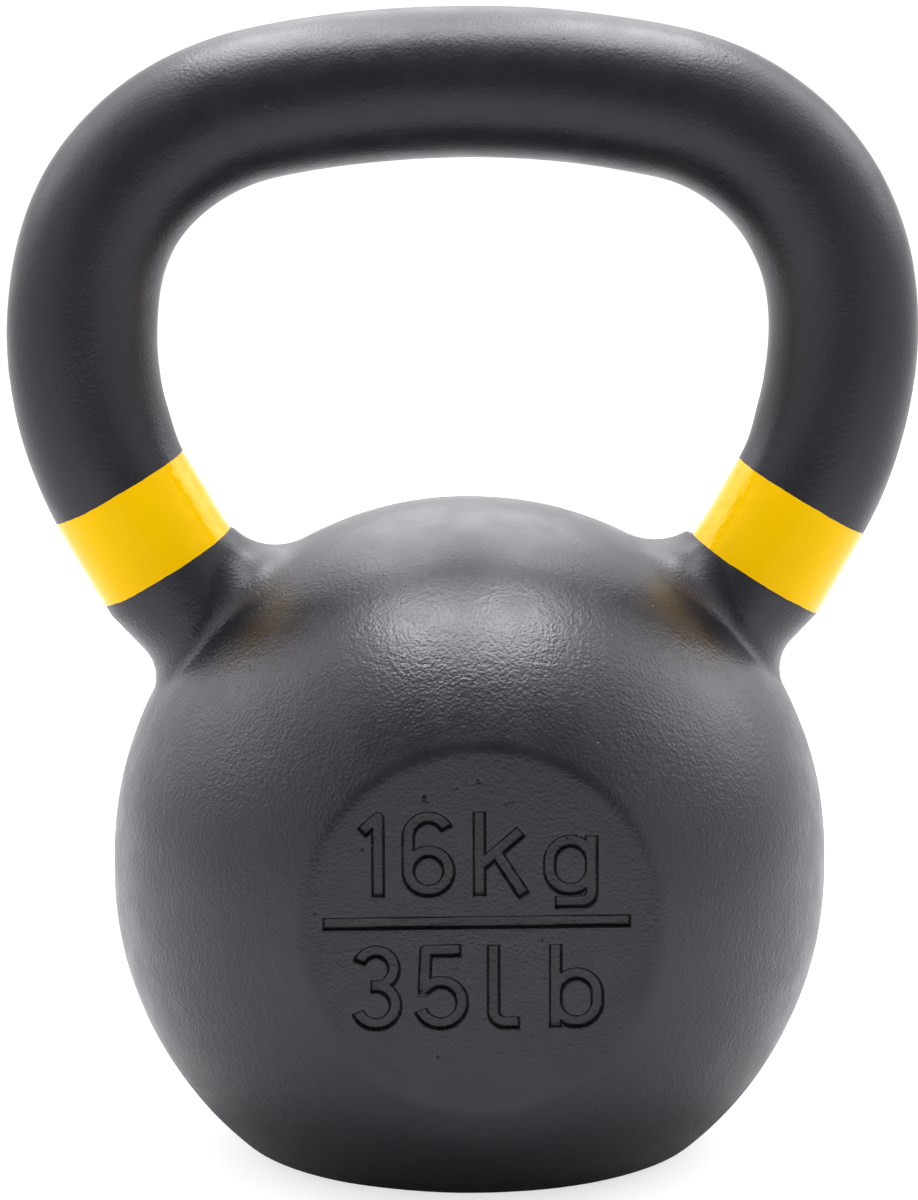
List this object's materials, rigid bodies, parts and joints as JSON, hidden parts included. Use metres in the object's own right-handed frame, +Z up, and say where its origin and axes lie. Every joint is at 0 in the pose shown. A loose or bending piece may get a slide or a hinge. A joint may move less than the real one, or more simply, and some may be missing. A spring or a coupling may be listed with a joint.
{
  "type": "kettlebell",
  "caption": "Cast-iron kettlebell: a solid round bell with a flat base and flat faces, a looped bar handle, flared roots and colour bands on the legs.",
  "frame": {"origin": "middle of the flat base that the kettlebell stands on", "axes": "+Z up through the middle of the grip, +X along the grip to the right as seen from the front, -Y out of the front face"},
  "size_m": [0.1974, 0.138, 0.2482],
  "materials": {
    "bell_iron": "matt powder coat over sand-cast iron, pebbly",
    "handle_iron": "satin powder coat, smoother than the bell",
    "band_paint": "glossy yellow coat"
  },
  "bodies": {
    "root": {"bell": "bell_iron", "left_root": "handle_iron", "right_root": "handle_iron", "left_horn": "handle_iron", "right_horn": "handle_iron", "grip": "handle_iron", "left_band": "band_paint", "right_band": "band_paint"}
  },
  "joints": []
}
